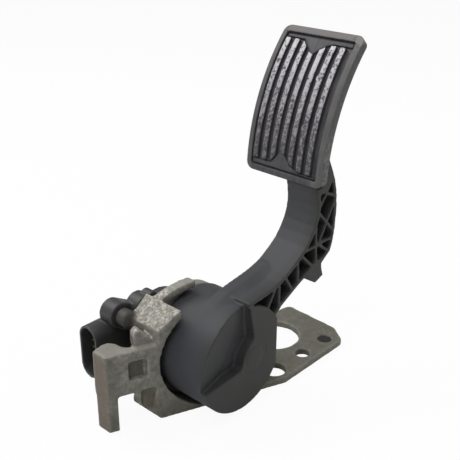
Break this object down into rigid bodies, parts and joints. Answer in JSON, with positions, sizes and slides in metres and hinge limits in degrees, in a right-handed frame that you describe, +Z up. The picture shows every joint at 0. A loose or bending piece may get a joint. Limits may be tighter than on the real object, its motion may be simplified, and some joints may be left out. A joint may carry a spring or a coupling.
{
  "type": "accelerator pedal",
  "caption": "Floor-mounted truck accelerator pedal: cast bracket with cup and leg, ribbed plastic arm on a spring-return hub, curved metal pad and angle sensor.",
  "frame": {"origin": "on the mounting plane, straight below the pivot axis and the middle of the cup", "axes": "+X along the pivot shaft toward the plain end of the drum, +Y the way the pad is pushed, +Z up from the mounting plane"},
  "size_m": [0.083, 0.1845, 0.216],
  "materials": {
    "cast_bracket": "die-cast, weathered and dirty",
    "arm_plastic": "glass-filled moulding, slightly worn",
    "pad_metal": "black paint worn to bare metal on ribs and rim",
    "screw_steel": "zinc plated",
    "shaft_steel": "ground",
    "bush_bronze": "sintered",
    "pale_plastic": "natural moulding",
    "spring_steel": "oiled spring wire",
    "friction_plastic": "filled friction material",
    "sensor_plastic": "black moulding",
    "seal_rubber": "moulded",
    "magnet_iron": "sintered",
    "board_green": "lacquered board",
    "chip_black": "moulded",
    "pin_brass": "tinned"
  },
  "bodies": {
    "base": {"bracket": "cast_bracket", "hole_plug": "seal_rubber", "inner_bush": "bush_bronze", "outer_bush": "bush_bronze", "outer_return_spring": "spring_steel", "inner_return_spring": "spring_steel", "friction_ring": "friction_plastic", "sensor_housing": "sensor_plastic", "sensor_cover": "sensor_plastic", "sensor_seal": "seal_rubber", "sensor_circuit_board": "board_green", "angle_chips": "chip_black", "connector_pins": "pin_brass", "sensor_screws": "screw_steel"},
    "pedal": {"pedal_arm": "arm_plastic", "pedal_pad": "pad_metal", "pad_screws": "screw_steel", "pivot_shaft": "shaft_steel", "thrust_washer": "pale_plastic", "retaining_clip": "spring_steel", "spring_carrier": "pale_plastic", "sensor_rotor": "pale_plastic", "rotor_magnets": "magnet_iron"}
  },
  "joints": [
    {"name": "pedal_swing", "type": "hinge", "parent": "base", "child": "pedal", "pos_m": [0.02, 0, 0.038], "axis": [-1, 0, 0], "range_deg": [0, 20], "stiffness_Nm_per_rad": 6, "springref_deg": -34.38}
  ]
}
